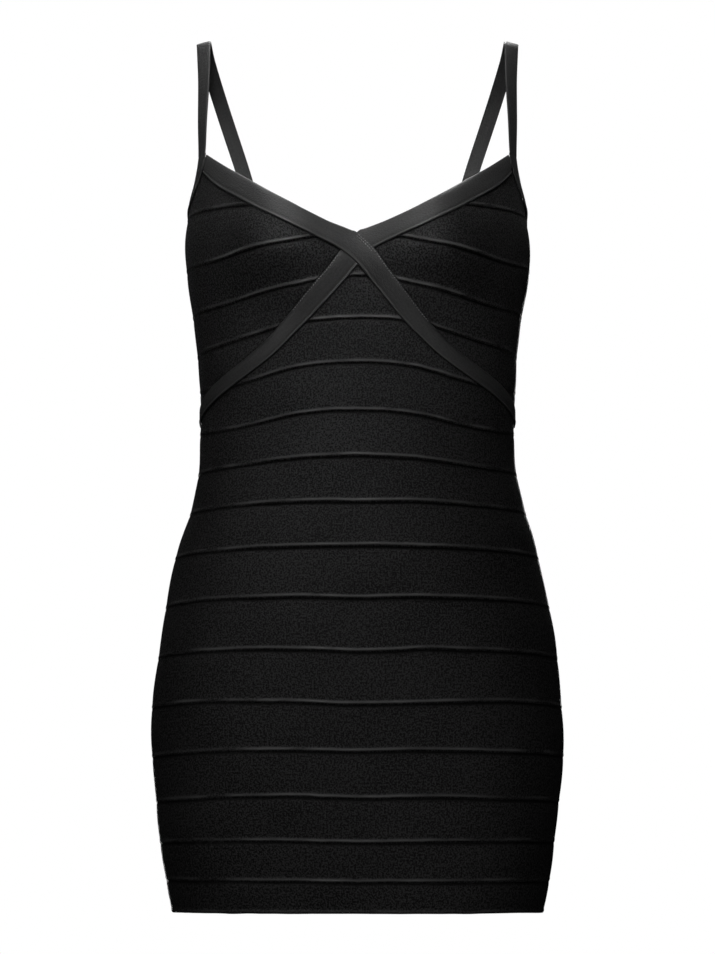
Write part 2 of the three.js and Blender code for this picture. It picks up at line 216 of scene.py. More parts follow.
def through(places, values, t):
    """The values at t of a smooth curve through the knots."""
    places, values, t = (np.asarray(given, float) for given in (places, values, t))
    last = len(places) - 1
    before = np.maximum(np.arange(last + 1) - 1, 0)
    after = np.minimum(np.arange(last + 1) + 1, last)
    slopes = (values[after] - values[before]) / (places[after] - places[before])
    i = np.clip(np.searchsorted(places, t, side="right") - 1, 0, last - 1)
    span = places[i + 1] - places[i]
    s = (t - places[i]) / span
    rise = slopes[i] * span * s * (1 - s) ** 2 - slopes[i + 1] * span * s * s * (1 - s)
    return values[i] + (values[i + 1] - values[i]) * s * s * (3 - 2 * s) + rise


def smoothstep(value, low, high):
    s = np.clip((value - low) / (high - low), 0, 1)
    return s * s * (3 - 2 * s)


def folded(angle):
    """An angle folded onto the wearer's left half, from 0 at centre front to 180 at centre back."""
    turn = np.abs(angle)
    return np.where(turn > 180, 360 - turn, turn)


def uneven(angle, per_turn, seed):
    """Smooth random numbers round the body, the same again after a whole turn."""
    rng = np.random.default_rng([SEED, seed])
    values = rng.standard_normal(per_turn)
    padded = np.concatenate([values[-3:], values, values[:4]])
    places = np.arange(-3, per_turn + 4)
    return through(places, padded, np.mod(angle, 360) / 360 * per_turn)


def unit(vectors):
    return vectors / np.linalg.norm(vectors, axis=-1, keepdims=True)


# The body's surface

def radius(angle, height):
    heights = BODY_SECTIONS[:, 0]
    half_width, front, back = (through(heights, BODY_SECTIONS[:, k], height) for k in (1, 2, 3))
    forward = np.cos(np.radians(angle))
    sideways = np.sin(np.radians(angle))
    depth = np.where(forward > 0, front, back)
    shares = np.abs(forward / depth) ** SECTION_POWER + np.abs(sideways / half_width) ** SECTION_POWER
    rise = height - CUP_HEIGHT
    up = (rise / np.where(rise > 0, CUP_ABOVE, CUP_BELOW)) ** 2
    result = shares ** (-1 / SECTION_POWER)
    for centre in (CUP_ANGLE, -CUP_ANGLE):
        away = np.mod(angle - centre + 180, 360) - 180
        along = np.radians(away) * CUP_RADIUS / CUP_ACROSS
        result = result + CUP_FULLNESS * np.exp(-(along ** 2) - up)
    return result


def on_body(angle, height):
    angle, height = np.broadcast_arrays(np.asarray(angle, float), np.asarray(height, float))
    r = radius(angle, height)
    turn = np.radians(angle)
    return np.stack([r * np.sin(turn), -r * np.cos(turn), height], axis=-1)


def outwards(angle, height):
    turn, rise = 0.5, 1 * MM
    across = on_body(angle + turn, height) - on_body(angle - turn, height)
    upward = on_body(angle, height + rise) - on_body(angle, height - rise)
    return unit(np.cross(across, upward))


def cloth(angle, height, out):
    """Points of the cloth, moved out from its smooth outer face."""
    out = np.asarray(out, float)
    return on_body(angle, height) + outwards(angle, height) * out[..., None]


def from_side_seam(angle, height):
    """The distance round the body from the nearer side seam."""
    return np.radians(np.abs(np.mod(angle, 180) - 90)) * radius(angle, height)


def at_sides(angle):
    """0 in front and behind, 1 at the sides."""
    return smoothstep(np.abs(np.sin(np.radians(angle))), *SIDES)


# Bands

def divided(rows, pieces):
    """The rows of a table with evenly spaced ones put between them, as angle, height, lean and width."""
    table = np.array(rows, float) * (1, MM, 1, MM)
    t = np.linspace(0, len(rows) - 1, (len(rows) - 1) * pieces + 1)
    return np.stack([through(np.arange(len(rows)), column, t) for column in table.T], axis=1)


def across_band(rows, distance):
    """The angle and height at a distance across a band from its near edge."""
    angle, height, lean = (rows[:, k, None] for k in range(3))
    turned = np.radians(lean)
    side = unit(np.cross([0.0, 0.0, 1.0], outwards(angle, height)))
    point = on_body(angle, height) + side * (distance * np.sin(turned))[..., None]
    found = np.degrees(np.arctan2(point[..., 0], -point[..., 1]))
    near = angle + np.mod(found - angle + 180, 360) - 180
    return near, height - distance * np.cos(turned)


def mirrored(rows):
    return [(-angle, height, -lean, width) for angle, height, lean, width in rows]


def crossing_lift(angle, height):
    """How far the band that passes over the other is lifted."""
    away = np.linalg.norm(on_body(angle, height) - on_body(0, CROSSING_HEIGHT), axis=-1)
    return CROSSING_LIFT * (1 - smoothstep(away, CROSSING_FLAT, CROSSING_REACH))


CROSS_PATH = divided([*mirrored(NECKLINE[::-1]), *UNDERBUST], BAND_PIECES)
UNDER_PATH = CROSS_PATH * (-1, 1, -1, 1)
OVER_PATH = CROSS_PATH.copy()
OVER_PATH[:, 1] -= through(OVER_DROP_ANGLES, OVER_DROPS, CROSS_PATH[:, 0]) * MM
BACK_HALF = divided(BACK_NECK, BAND_PIECES)
BACK_PATH = np.concatenate([BACK_HALF, BACK_HALF[-2::-1] * (-1, 1, 1, 1) + (360, 0, 0, 0)])
ARMHOLE_PATH = divided(ARMHOLE, BAND_PIECES)


def band_middles(rows):
    angle, height = across_band(rows, rows[:, 3, None] / 2)
    return on_body(angle, height)[:, 0], rows[:, 3]


COVER_STEP = 4  # every fourth place of a band is enough to find the cloth beneath it
COVER_EDGE = (-0.5 * MM, 2 * MM)  # where the cloth comes out from under a band, from the band's edge
COVERING_BANDS = [
    band_middles(rows)
    for rows in (OVER_PATH, UNDER_PATH, BACK_PATH, ARMHOLE_PATH, ARMHOLE_PATH * (-1, 1, -1, 1))
]


def clear_of_bands(points):
    """0 under a band and 1 away from all of them."""
    share = np.ones(points.shape[:-1])
    for middles, widths in COVERING_BANDS:
        for middle, width in zip(middles[::COVER_STEP], widths[::COVER_STEP]):
            away = np.linalg.norm(points - middle, axis=-1) - width / 2
            share = np.minimum(share, smoothstep(away, *COVER_EDGE))
    return share


# Meshes

def smooth_object(name, vertices, faces, places, material):
    """An object whose map gives each vertex a place on the cloth, in metres."""
    mesh = bpy.data.meshes.new(name)
    mesh.from_pydata(vertices.tolist(), [], faces)
    mesh.polygons.foreach_set("use_smooth", [True] * len(faces))
    corners = np.zeros(len(mesh.loops), np.int32)
    mesh.loops.foreach_get("vertex_index", corners)
    mesh.uv_layers.new(name="Cloth").data.foreach_set("uv", places[corners].astype(np.float32).ravel())
    mesh.materials.append(material)
    mesh.validate()
    made = bpy.data.objects.new(name, mesh)
    bpy.context.scene.collection.objects.link(made)
    return made


def piece(name, loops, lengths, rolled, material, origin):
    """A closed mesh through loops of points, whose map runs along the loops and round each of them.
    Rolled is 1 on a rolled edge, 0 on flat cloth and -1 deep in a fold."""
    count, size = loops.shape[:2]
    grid = np.arange(count * size).reshape(count, size)
    turned = np.roll(grid, -1, axis=1)
    quads = np.stack([grid[:-1], turned[:-1], turned[1:], grid[1:]], axis=-1).reshape(-1, 4)
    faces = [*quads.tolist(), grid[0, ::-1].tolist(), grid[-1].tolist()]
    along, around = lengths
    places = np.stack(np.broadcast_arrays(along, around), axis=-1).reshape(-1, 2) + origin
    made = smooth_object(name, loops.reshape(-1, 3), faces, places, material)
    rolled = np.broadcast_to(rolled, (count, size)).astype(np.float32)
    made.data.attributes.new("Rolled", "FLOAT", "POINT").data.foreach_set("value", rolled.ravel())
    return made


def along_loops(points):
    """The distance along a row of points, from its start."""
    steps = np.linalg.norm(np.diff(points, axis=0), axis=-1)
    return np.concatenate([[0.0], np.cumsum(steps)])


# Strips

SEAM_PLACES = (-30, 0, 30, 60, 90, 180, 270)  # angles of a seam's heights, with one more past each end
SEAM_WAVES = ((9, 0.2 * MM), (26, 0.16 * MM), (70, 0.08 * MM))  # waves round the body, and their height
WAVE_SEEDS = 100  # apart from one seam to the next
TOP_EDGE = np.array([(0, NECKLINE[0][1]), *[row[:2] for row in NECKLINE + ARMHOLE + BACK_NECK]], float)

# Places of a strip's rows on its outer face, down from its top and up from its foot, and on its inner face
TOP_ROWS = np.array([0, 0.8, 1.6, 2.2, 2.7, 3.3, 4.1, 5.2]) * MM
WELT_ROWS = np.array([5.6, 4.8, 4.2, 3.7, 3.2, 2.7, 2.2, 1.7, 1.2, 0.8, 0.45, 0.2, 0.05]) * MM
BODY_ROWS = 11
INNER_ROWS = np.array([0, 0.03, 0.1, 0.25, 0.5, 0.75, 0.9, 1])  # shares of the way up
FULL_HEIGHT = 1.15 * (TOP_ROWS[-1] + WELT_ROWS[0])  # the rows of a lower strip lie closer together

# Waves round the body, millimetres up the body for one radian, phase in degrees, and height
RELIEF_WAVES = (
    (16, 23, 0, 0.28 * MM),
    (13, 17, 90, 0.28 * MM),
    (44, 9, 0, 0.09 * MM),
    (39, 7.3, 90, 0.09 * MM),
)
PUCKERS = ((190, 0.11 * MM, 500), (83, 0.08 * MM, 700))  # waves round the body, height, and seed

LAST_UNDER_BANDS = 6  # the lowest strip that a band covers
# Each welt's crest gets a painted highlight; the fold under it and the cloth beneath the bands get painted
# shade
CREST_AT = 2.2 * MM  # above the foot
CREST_WIDTH = 0.95 * MM
CREST_AT_HEM = 0.4
PAINTED_CREST_HIGHLIGHT = (0.8, 0.2, 60, 1100)  # painted highlight on the crests: mean brightness, how much it varies, waves round the body, and seed
CREST_FADE = 0.6  # how much darker the painted highlight is at the sides, where less light falls
CREST_FADING = (0.3, 0.95)
FOLD_DEEP = 0.9 * MM  # painted shade fills the fold under a welt as far as this below the seam
FOLD_WIDTH = 1.2 * MM
FOLD_AT_BANDS = 0.85  # how dark the painted shade is on the cloth beneath a band
STRIP_MAP_SHIFT = np.array([0.31, 0.17])  # between the maps of two strips, so that no two look the same


def seam_height(number, angle):
    front, quarter, flank, side, back = SEAMS[number - 1]
    knots = (quarter, front, quarter, flank, side, back, side)
    height = through(SEAM_PLACES, knots, folded(angle))
    if number < LAST_STRIP:
        height = height - SEAM_DROP
    for k, (waves, tall) in enumerate(SEAM_WAVES):
        height = height + tall * uneven(angle, waves, WAVE_SEEDS * number + k)
    return height


def top_edge(angle):
    return np.interp(folded(angle), TOP_EDGE[:, 0], TOP_EDGE[:, 1] * MM) - EDGE_INSET


def welt(above_foot):
    """How far the rolled lower edge of a strip stands proud."""
    rise = smoothstep(above_foot, WELT_WIDTH, WELT_CREST_AT)
    roll = np.sqrt(np.clip(1 - (1 - above_foot / WELT_CREST_AT) ** 2, 0, 1))
    upper = WELT_CREST * rise
    lower = (WELT_CREST + WELT_FOOT) * roll - WELT_FOOT
    return np.where(above_foot > WELT_CREST_AT, upper, lower)


def relief(angle, height):
    """Very soft unevenness of cloth that is pulled over a body."""
    result = 0
    for k, (waves, radian, phase, tall) in enumerate(RELIEF_WAVES):
        up = np.sin(height / (radian * MM) + math.radians(phase))
        result = result + tall * uneven(angle, waves, k + 1) * up
    return result


def puckers(number, angle):
    return sum(tall * uneven(angle, waves, seed + number) for waves, tall, seed in PUCKERS)


def strip_columns(number, angles, topmost):
    """Where a strip is tall enough: the angles, its top and foot, and 1 where a welt covers its top."""
    top = top_edge(angles)
    under_welt = np.zeros(angles.shape)
    if not topmost:
        seam_above = seam_height(number - 1, angles) + TUCK
        under_welt = np.where(seam_above < top, 1.0, 0.0)
        top = np.minimum(seam_above, top)
    foot = seam_height(number, angles)
    kept = top - foot > LEAST_STRIP
    return (values[kept, None] for values in (angles, top, foot, under_welt))


def tuck_and_flare(turn, below_top, under_welt):
    """How far a strip bends in behind the welt above it, and out to a band over its top edge."""
    depth = TUCK_DEPTH * (1 - (1 - TUCK_AT_SIDES) * at_sides(turn))
    tuck = depth * (1 - smoothstep(below_top - TUCK, 0, TUCK_RISE)) * under_welt
    flare = FLARE * (1 - smoothstep(below_top, 0, FLARE_WIDTH)) * (1 - under_welt)
    return tuck, flare


def outer_height(number, turn, heights, top, foot, under_welt, clear):
    """How far a strip's outer face stands off the body."""
    tall = top - foot
    above_foot = heights - foot
    below_top = top - heights
    share_down = below_top / tall
    scale = np.minimum(1, tall / FULL_HEIGHT)
    tuck, flare = tuck_and_flare(turn, below_top, under_welt)
    pucker = puckers(number, turn) * np.exp(-above_foot / PUCKER_ABOVE)
    pucker = pucker + puckers(number - 1, turn) * np.exp(-np.abs(below_top - TUCK) / PUCKER_BELOW)
    welt_share = WELT_AT_HEM if number == LAST_STRIP else 1 - (1 - WELT_AT_SIDES) * at_sides(turn)
    raised = welt(above_foot / scale) * welt_share - tuck + pucker
    raised = raised + relief(turn, heights) + BULGE * 4 * share_down * (1 - share_down)
    raised = np.where(clear < 1, np.minimum(raised, raised * clear), raised)
    side = SIDE_ROLL * (1 - smoothstep(from_side_seam(turn, heights), 0, SIDE_ROLL_WIDTH))
    return raised - side * clear + flare


def inner_height(number, turn, heights, top, foot, under_welt):
    """The same for its inner face."""
    tuck, flare = tuck_and_flare(turn, top - heights, under_welt)
    side = SIDE_ROLL / 2 * (1 - smoothstep(from_side_seam(turn, heights), 0, SIDE_ROLL_WIDTH))
    height = relief(turn, heights) - KNIT_WALL - tuck + flare - side
    if number < LAST_STRIP:
        height = height + FOOT_THINNING * (1 - smoothstep(heights - foot, *FOOT_THINNED))
    return height


def painted_crest_highlight_and_fold_shade(number, turn, above_foot, below_seam, under_welt, clear):
    """1 on a strip's rolled edge, 0 on flat cloth and -1 deep in a fold."""
    # Above 0 the material paints a highlight on the crest; below 0 it paints shade in the fold and beneath
    # the bands
    mean, change, waves, seed = PAINTED_CREST_HIGHLIGHT
    fade = CREST_FADE * smoothstep(np.abs(np.sin(np.radians(turn))), *CREST_FADING)
    painted_highlight = np.clip(mean + change * uneven(turn, waves, seed + number) - fade, 0, 1)
    crest = np.exp(-((above_foot - CREST_AT) / CREST_WIDTH) ** 2) * clear * painted_highlight
    if number == LAST_STRIP:
        crest = crest * CREST_AT_HEM
    fold = np.exp(-(np.maximum(below_seam - FOLD_DEEP, 0) / FOLD_WIDTH) ** 2) * under_welt
    return crest - np.maximum(fold, FOLD_AT_BANDS * (1 - clear))


def strip(name, number, angles, topmost, material):
    angles, top, foot, under_welt = strip_columns(number, angles, topmost)
    tall = top - foot
    scale = np.minimum(1, tall / FULL_HEIGHT)
    first = top - TOP_ROWS * scale
    last = foot + WELT_ROWS * scale
    shares = np.linspace(0, 1, BODY_ROWS + 2)[1:-1]
    middle = first[:, -1:] + (last[:, :1] - first[:, -1:]) * shares
    heights = np.concatenate([first, middle, last], axis=1)
    turn = np.broadcast_to(angles, heights.shape)
    clear = np.ones(heights.shape)
    if number <= LAST_UNDER_BANDS:
        clear = clear_of_bands(on_body(turn, heights))
    laid = cloth(turn, heights, outer_height(number, turn, heights, top, foot, under_welt, clear))

    inner_heights = foot + tall * INNER_ROWS
    inner_turn = np.broadcast_to(angles, inner_heights.shape)
    inner = inner_height(number, inner_turn, inner_heights, top, foot, under_welt)
    loops = np.concatenate([laid, cloth(inner_turn, inner_heights, inner)], axis=1)

    along = along_loops(loops[:, len(TOP_ROWS) + BODY_ROWS // 2])[:, None]
    around = np.concatenate([top - heights, tall + inner_heights - foot], axis=1)
    outside = painted_crest_highlight_and_fold_shade(number, turn, heights - foot, top - heights - TUCK, under_welt, clear)
    rolled = np.concatenate([outside, np.zeros(inner.shape)], axis=1)
    made = piece(f"knit_{name}", loops, (along, around), rolled, material, STRIP_MAP_SHIFT * number)
    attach(made, "root")
    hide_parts(name)


def columns(start, end):
    return np.linspace(start, end, round((end - start) / COLUMN_STEP) + 1)


def strips(material):
    past_seam = math.degrees(SIDE_OVERLAP / BODY_SECTIONS[0, 1])
    right_seam, left_seam = -90 - past_seam, 90 + past_seam
    for number in range(1, LAST_STRIP + 1):
        front = f"front_strip_{number:02d}"
        if number <= 2:
            strip(f"{front}_left", number, columns(0, left_seam), number == 1, material)
            strip(f"{front}_right", number, columns(right_seam, 0), number == 1, material)
        else:
            strip(front, number, columns(right_seam, left_seam), False, material)
        if number > 1:
            behind = columns(180 - left_seam, 180 - right_seam)
            strip(f"back_strip_{number:02d}", number, behind, number == 2, material)


# Bands and straps

ACROSS = (1 - np.cos(np.linspace(0, np.pi, 27))) / 2  # close together at the edges
ROUND_BAND = np.concatenate([ACROSS, ACROSS[-2:0:-1]])  # places across it: outer face, then inner face
BEAD = np.exp(-((1 - ROUND_BAND - BEAD_AT) / BEAD_WIDTH) ** 2)
GROOVE = np.exp(-((1 - ROUND_BAND - GROOVE_AT) / GROOVE_WIDTH) ** 2)
BAND_MAPS = 7  # metres, so that the bands' maps lie apart from each other


def section(wall, upper_drop, lower_drop, bead):
    """Heights of a ribbon's faces over its middle layer."""
    edge = np.abs(2 * ROUND_BAND - 1)
    half = wall / 2 * np.clip(1 - edge ** EDGE_ROUNDING, 0, 1) ** (1 / EDGE_ROUNDING)
    half[len(ACROSS):] *= -1
    drop = np.where(ROUND_BAND < 0.5, upper_drop, lower_drop)
    return half - drop * edge ** BAND_BEND + bead * (BEAD - GROOVE_DEPTH * GROOVE)


BAND_SECTION = section(BAND_WALL, BAND_DROP, BAND_LOWER_DROP, BAND_BEAD)
FLAT_SECTION = section(BAND_WALL, 0, 0, 0)
STRAP_SECTION = section(STRAP_WALL, 0, 0, 0)


def band_loops(rows, lift=None, bend=1):
    """A band's loops. It is flat where bend is 0, and its edges are pressed to the strips where it is 1."""
    angle, height = across_band(rows, ROUND_BAND * rows[:, 3, None])
    bend = np.broadcast_to(bend, len(rows))[:, None]
    rise = FLAT_SECTION * (1 - bend) + BAND_SECTION * bend
    settle = BAND_SETTLE * (1 - smoothstep(from_side_seam(angle, height), *BAND_SETTLED))
    out = BAND_MIDDLE + rise - settle + (lift(angle, height) if lift else 0)
    return cloth(angle, height, out)


def ribbon(name, loops, width, material, origin):
    along = along_loops(loops[:, len(ACROSS) // 2])[:, None]
    share = np.concatenate([ACROSS, 2 - ACROSS[-2:0:-1]])
    around = share[None, :] * np.reshape(width, (-1, 1))
    # The lip along a band's lower edge gets a painted highlight as well as smoother cloth
    rolled = np.where(np.arange(len(ROUND_BAND)) < len(ACROSS), BEAD, 0)
    made = piece(f"sewn_{name}", loops, (along, around), rolled, material, origin)
    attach(made, "root")
    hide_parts(name)


def strap_loops():
    inside = -(KNIT_WALL + STRAP_WALL / 2 + STRAP_INSIDE)
    knots = []
    for height in STRAP_END_HEIGHTS:
        place = cloth(STRAP_END_ANGLE, height, inside)
        knots.append((*place, *outwards(STRAP_END_ANGLE, height)))
    knots += [(x * MM, y * MM, z * MM, *face) for x, y, z, *face in STRAP]
    half_width = np.array([[STRAP_WIDTH / 2]])
    for row in np.array(ARMHOLE[:2]) * (1, MM, 1, MM):
        angle, height = (found[0, 0] for found in across_band(row[None], half_width))
        knots.append((*cloth(angle, height, BAND_MIDDLE), *outwards(angle, height)))
    knots = np.array(knots)
    last = len(knots) - 2
    t = np.linspace(0, last, last * STRAP_PIECES + 1)[:-1]

    def at(t, axes):
        return np.stack([through(np.arange(len(knots)), knots[:, k], t) for k in axes], axis=-1)

    place = at(t, range(3))
    step = 0.01  # of the way between two rows
    direction = unit(at(t + step, range(3)) - at(t - step, range(3)))
    across = unit(np.cross(at(t, range(3, 6)), direction))
    face = np.cross(direction, across)
    to_band = smoothstep(t, last - STRAP_TO_BAND, last)[:, None]
    rise = STRAP_SECTION * (1 - to_band) + FLAT_SECTION * to_band
    free = (
        place[:, None]
        + across[:, None] * ((0.5 - ROUND_BAND) * STRAP_WIDTH)[None, :, None]
        + face[:, None] * rise[..., None]
    )
    pressed = smoothstep(np.arange(len(ARMHOLE_PATH)) / len(ARMHOLE_PATH), *ARMHOLE_PRESSED)
    return np.concatenate([free, band_loops(ARMHOLE_PATH, bend=pressed)])


def bands(material):
    over = band_loops(OVER_PATH, crossing_lift)
    under = band_loops(UNDER_PATH)
    widths = CROSS_PATH[:, 3]
    ribbon("cross_band_over", over, widths, material, (0, BAND_MAPS))
    ribbon("cross_band_under", under[::-1], widths[::-1], material, (0, BAND_MAPS + 1))
    ribbon("back_binding", band_loops(BACK_PATH), BACK_PATH[:, 3], material, (0, BAND_MAPS + 2))
    left = strap_loops()
    widths = np.full(len(left), STRAP_WIDTH)
    ribbon("strap_left", left, widths, material, (0, BAND_MAPS + 3))
    ribbon("strap_right", (left * (-1, 1, 1))[::-1], widths, material, (0, BAND_MAPS + 4))


# Stitches

STITCH_STEP = 2.4 * MM
STITCH_LENGTH = 1.6 * MM
STITCH_RADIUS = 0.3 * MM
STITCH_RINGS = ((-1, 0.3), (-0.85, 0.75), (-0.5, 1), (0.5, 1), (0.85, 0.75), (1, 0.3))  # place, thickness
STITCH_SIDES = 8
STITCH_SLANT = 0.35  # at most, to either side
STITCH_UNEVEN = 0.15  # at most, longer or shorter
STITCH_SEED = 900
STITCH_AHEAD = 0.4 * MM
# A row's band, how that is lifted, the angles at the row's two ends, and its distance from the band's edge
STITCH_ROWS = (
    (OVER_PATH, crossing_lift, 0.4, 8.6, 0.9 * MM),
    (OVER_PATH, crossing_lift, 0.2, 8.2, 2.7 * MM),
    (OVER_PATH, crossing_lift, 9, 35, 0.8 * MM),
    (UNDER_PATH, None, -31, -9, 0.8 * MM),
)


def stitch_row(path, lift, first, last, inset):
    """Evenly spaced places along a band's upper edge, with the ways along it and out of the cloth."""
    rows = path[(path[:, 0] > first) & (path[:, 0] < last)]
    angle, height = across_band(rows, np.full((len(rows), 1), inset))
    out = BAND_MIDDLE + np.interp(inset / rows[:, 3, None], ACROSS, BAND_SECTION[:len(ACROSS)])
    if lift:
        out = out + lift(angle, height)
    line = cloth(angle, height, out)[:, 0]
    faces = outwards(angle, height)[:, 0]
    travelled = along_loops(line)
    places = np.arange(STITCH_STEP / 2, travelled[-1], STITCH_STEP)

    def at(values, places):
        return np.stack([np.interp(places, travelled, values[:, k]) for k in range(3)], axis=-1)

    ahead = unit(at(line, places + STITCH_AHEAD) - at(line, places - STITCH_AHEAD))
    return at(line, places), ahead, unit(at(faces, places))


def stitch_points():
    """Rings of points along each stitch, as an array of stitches, rings and points in a ring."""
    rows = [stitch_row(*row) for row in STITCH_ROWS]
    places, ahead, out = (np.concatenate(part) for part in zip(*rows))
    rng = np.random.default_rng([SEED, STITCH_SEED])
    slant = rng.uniform(-STITCH_SLANT, STITCH_SLANT, (len(places), 1))
    ahead = unit(ahead + np.cross(out, ahead) * slant)
    aside = np.cross(out, ahead)
    stretch = rng.uniform(1 - STITCH_UNEVEN, 1 + STITCH_UNEVEN, (len(places), 1, 1, 1))
    turn = np.linspace(0, 2 * np.pi, STITCH_SIDES, endpoint=False)[None, None, :, None]
    ring, thick = (np.array(column)[None, :, None, None] for column in zip(*STITCH_RINGS))
    places, ahead, aside, out = (part[:, None, None, :] for part in (places, ahead, aside, out))
    middle = places + ahead * ring * (STITCH_LENGTH / 2 * stretch)
    return middle + STITCH_RADIUS * thick * (aside * np.cos(turn) + out * np.sin(turn))


def stitches(material):
    """Threads over the edges that are sewn down, as one mesh."""
    points = stitch_points()
    vertices = points.reshape(-1, 3)
    grid = np.arange(len(vertices)).reshape(points.shape[:3])
    turned = np.roll(grid, -1, axis=2)
    sides = np.stack([grid[:, :-1], turned[:, :-1], turned[:, 1:], grid[:, 1:]], axis=-1).reshape(-1, 4)
    faces = [*sides.tolist(), *grid[:, 0, ::-1].tolist(), *grid[:, -1].tolist()]
    made = smooth_object("band_stitches", vertices, faces, vertices[:, (0, 2)], material)
    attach(made, "root")


# Materials

NOISE_ROUGHNESS = 0.6
GRAIN_RELIEF = 5  # relief of the finest grain over that of the knit
ROLLED_SMOOTHER = 0.85  # how much of the relief a rolled edge loses
SHEEN_ROUGHNESS = 0.45
SHEEN_TINT = (0.8, 0.8, 0.8, 1)


def add(tree, kind, **settings):
    made = tree.nodes.new(kind)
    for name, value in settings.items():
        setattr(made, name, value)
    return made


def arithmetic(tree, operation, first, second):
    """A maths node of two inputs, each a socket or a number."""
    made = add(tree, "ShaderNodeMath", operation=operation)
    for socket, value in zip(made.inputs, (first, second)):
        if isinstance(value, bpy.types.NodeSocket):
            tree.links.new(value, socket)
        else:
            socket.default_value = value
    return made.outputs[0]


def noise(tree, places, stretch, detail):
    """Noise from -0.5 to 0.5 whose grain is this many to a metre along and across the cloth."""
    mapping = add(tree, "ShaderNodeMapping", vector_type="POINT")
    mapping.inputs["Scale"].default_value = (*stretch, 1)
    tree.links.new(places, mapping.inputs["Vector"])
    made = add(tree, "ShaderNodeTexNoise", noise_dimensions="2D")
    made.inputs["Scale"].default_value = 1
    made.inputs["Detail"].default_value = detail
    made.inputs["Roughness"].default_value = NOISE_ROUGHNESS
    tree.links.new(mapping.outputs[0], made.inputs["Vector"])
    return arithmetic(tree, "SUBTRACT", made.outputs[0], 0.5)


def ribs(tree, place, spacing):
    """Ridges from 0 to 1 this far apart."""
    turned = arithmetic(tree, "MULTIPLY", place, math.pi / spacing)
    return arithmetic(tree, "ABSOLUTE", arithmetic(tree, "SINE", turned, 0), 0)


def mixed(tree, share, first, second):
    """A colour between two, each a socket or a colour."""
    mix = add(tree, "ShaderNodeMix", data_type="RGBA")
    tree.links.new(share, mix.inputs["Factor"])
    sockets = [socket for socket in mix.inputs if socket.type == "RGBA"]
    for socket, colour in zip(sockets, (first, second)):
        if isinstance(colour, bpy.types.NodeSocket):
            tree.links.new(colour, socket)
        else:
            socket.default_value = (*colour, 1)
    return next(socket for socket in mix.outputs if socket.type == "RGBA")


def cloth_material(name, dark, light, edge, grain, knit, rough, rolled_rough, sheen, gloss):
    """Knitted cloth. Grain is rows of grains to a metre, detail and weight, the finest first. Knit is the
    stitch's width and height, and its relief. Rough is the roughness of light and dark grains."""
    material = bpy.data.materials.new(name)
    material.use_nodes = True
    tree = material.node_tree
    shader = tree.nodes["Principled BSDF"]
    places = add(tree, "ShaderNodeUVMap", uv_map="Cloth").outputs[0]
    split = add(tree, "ShaderNodeSeparateXYZ")
    tree.links.new(places, split.inputs[0])

    total = 0.5
    patterns = []
    for stretch, detail, weight in grain:
        pattern = noise(tree, places, stretch, detail)
        patterns.append(pattern)
        total = arithmetic(tree, "ADD", arithmetic(tree, "MULTIPLY", pattern, weight), total)
    # Where Rolled is above 0 the colour turns to the edge colour, a painted highlight; below 0 it turns
    # black, painted shade
    attribute = add(tree, "ShaderNodeAttribute", attribute_name="Rolled").outputs["Fac"]
    rolled = arithmetic(tree, "MAXIMUM", attribute, 0)
    painted_fold_shade = arithmetic(tree, "MULTIPLY", attribute, -1)
    flat = mixed(tree, total, dark, light)
    raised = mixed(tree, rolled, flat, edge)
    tree.links.new(mixed(tree, painted_fold_shade, raised, (0, 0, 0)), shader.inputs["Base Color"])

    roughness = add(tree, "ShaderNodeMapRange")
    tree.links.new(total, roughness.inputs["Value"])
    roughness.inputs["To Min"].default_value = rough[1]
    roughness.inputs["To Max"].default_value = rough[0]
    less = arithmetic(tree, "MULTIPLY", rolled, rough[1] - rolled_rough)
    smoother = arithmetic(tree, "SUBTRACT", roughness.outputs[0], less)
    tree.links.new(smoother, shader.inputs["Roughness"])

    wale, course, depth = knit
    wales = ribs(tree, split.outputs[0], wale)
    courses = ribs(tree, split.outputs[1], course)
    stitch = arithmetic(tree, "MULTIPLY", wales, courses)
    surface = arithmetic(tree, "ADD", stitch, arithmetic(tree, "MULTIPLY", patterns[0], GRAIN_RELIEF))
    flatter = arithmetic(tree, "SUBTRACT", 1, arithmetic(tree, "MULTIPLY", rolled, ROLLED_SMOOTHER))
    surface = arithmetic(tree, "MULTIPLY", surface, flatter)
    bump = add(tree, "ShaderNodeBump")
    bump.inputs["Strength"].default_value = 1
    bump.inputs["Distance"].default_value = depth
    tree.links.new(surface, bump.inputs["Height"])
    tree.links.new(bump.outputs[0], shader.inputs["Normal"])

    shader.inputs["Specular IOR Level"].default_value = gloss
    shader.inputs["Sheen Weight"].default_value = sheen
    shader.inputs["Sheen Roughness"].default_value = SHEEN_ROUGHNESS
    shader.inputs["Sheen Tint"].default_value = SHEEN_TINT
    return material


